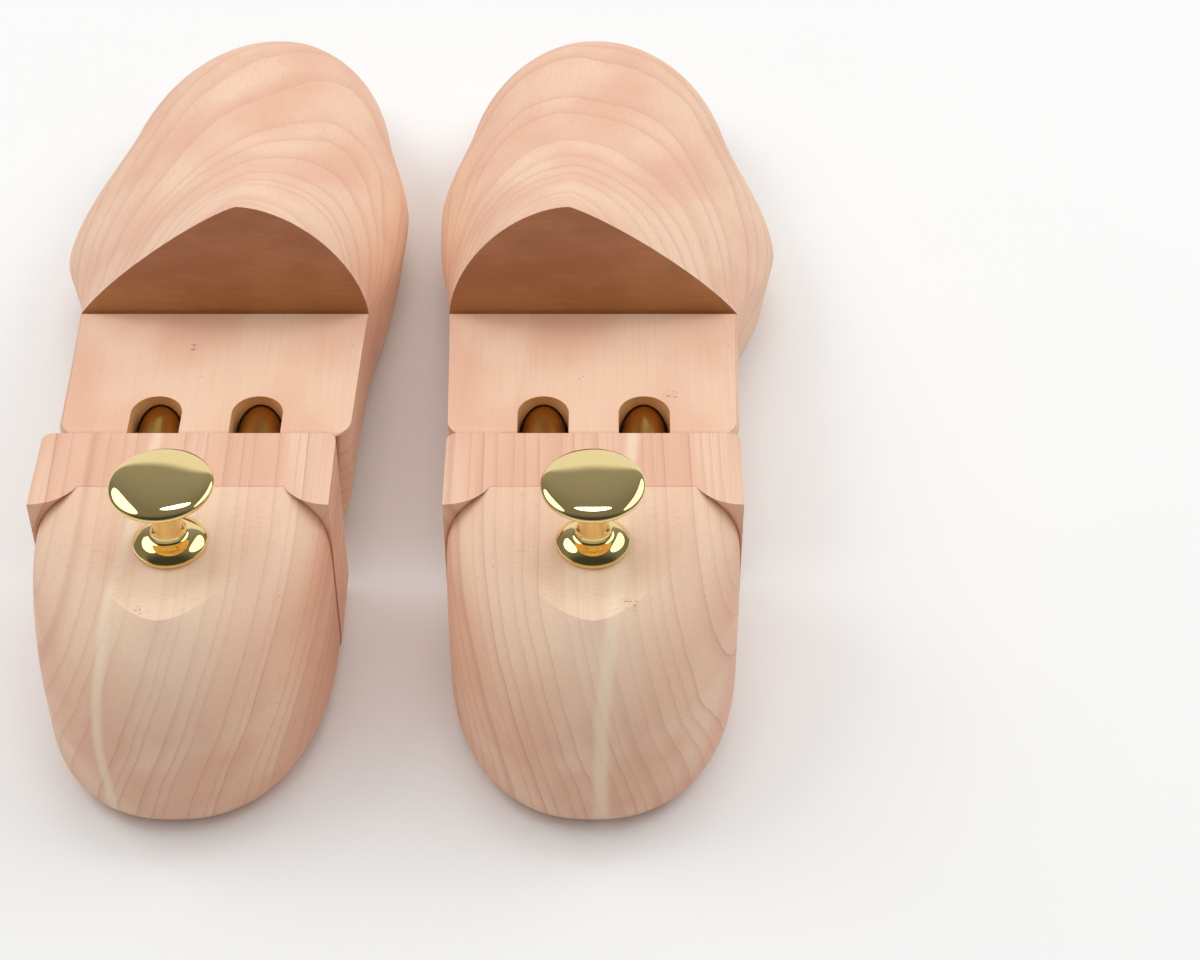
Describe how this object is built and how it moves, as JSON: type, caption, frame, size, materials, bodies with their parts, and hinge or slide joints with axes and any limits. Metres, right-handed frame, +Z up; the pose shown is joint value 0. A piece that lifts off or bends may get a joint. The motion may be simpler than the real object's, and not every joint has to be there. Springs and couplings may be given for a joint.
{
  "type": "pair of shoe trees",
  "caption": "Pair of cedar shoe trees: last-shaped foreparts, sprung twin tubes and rounded heel blocks that slide, each with a turned brass knob.",
  "frame": {"origin": "on the floor, at the middle of the pair's bounding box", "axes": "+Z up from the floor, +Y from the heels to the toes, +X to the side of the right tree"},
  "size_m": [0.187, 0.276, 0.0695],
  "materials": {
    "cedar": "fine sanded, unvarnished red cedar",
    "polished_brass": "mirror polished",
    "drawn_brass": "drawn, slightly dull",
    "plain_steel": "plain bright"
  },
  "bodies": {
    "foreparts": {"right_forepart": "cedar", "right_inner_socket_tube": "drawn_brass", "right_inner_socket_plug": "plain_steel", "right_inner_socket_pin": "plain_steel", "right_inner_spring": "plain_steel", "right_outer_socket_tube": "drawn_brass", "right_outer_socket_plug": "plain_steel", "right_outer_socket_pin": "plain_steel", "right_outer_spring": "plain_steel", "left_forepart": "cedar", "left_inner_socket_tube": "drawn_brass", "left_inner_socket_plug": "plain_steel", "left_inner_socket_pin": "plain_steel", "left_inner_spring": "plain_steel", "left_outer_socket_tube": "drawn_brass", "left_outer_socket_plug": "plain_steel", "left_outer_socket_pin": "plain_steel", "left_outer_spring": "plain_steel"},
    "right_heel": {"right_heel_block": "cedar", "right_knob": "polished_brass", "right_knob_screw": "plain_steel", "right_inner_plunger_tube": "drawn_brass", "right_inner_plunger_pin": "plain_steel", "right_inner_spring_seat": "plain_steel", "right_outer_plunger_tube": "drawn_brass", "right_outer_plunger_pin": "plain_steel", "right_outer_spring_seat": "plain_steel"},
    "left_heel": {"left_heel_block": "cedar", "left_knob": "polished_brass", "left_knob_screw": "plain_steel", "left_inner_plunger_tube": "drawn_brass", "left_inner_plunger_pin": "plain_steel", "left_inner_spring_seat": "plain_steel", "left_outer_plunger_tube": "drawn_brass", "left_outer_plunger_pin": "plain_steel", "left_outer_spring_seat": "plain_steel"}
  },
  "joints": [
    {"name": "right_heel_slide", "type": "slide", "parent": "foreparts", "child": "right_heel", "axis": [0, 1, 0], "range_m": [0, 0.013], "stiffness_N_per_m": 2700, "springref_m": -0.008, "deforming": ["right_inner_spring", "right_outer_spring"]},
    {"name": "left_heel_slide", "type": "slide", "parent": "foreparts", "child": "left_heel", "axis": [0, 1, 0], "range_m": [0, 0.013], "stiffness_N_per_m": 2700, "springref_m": -0.008, "deforming": ["left_inner_spring", "left_outer_spring"]}
  ]
}
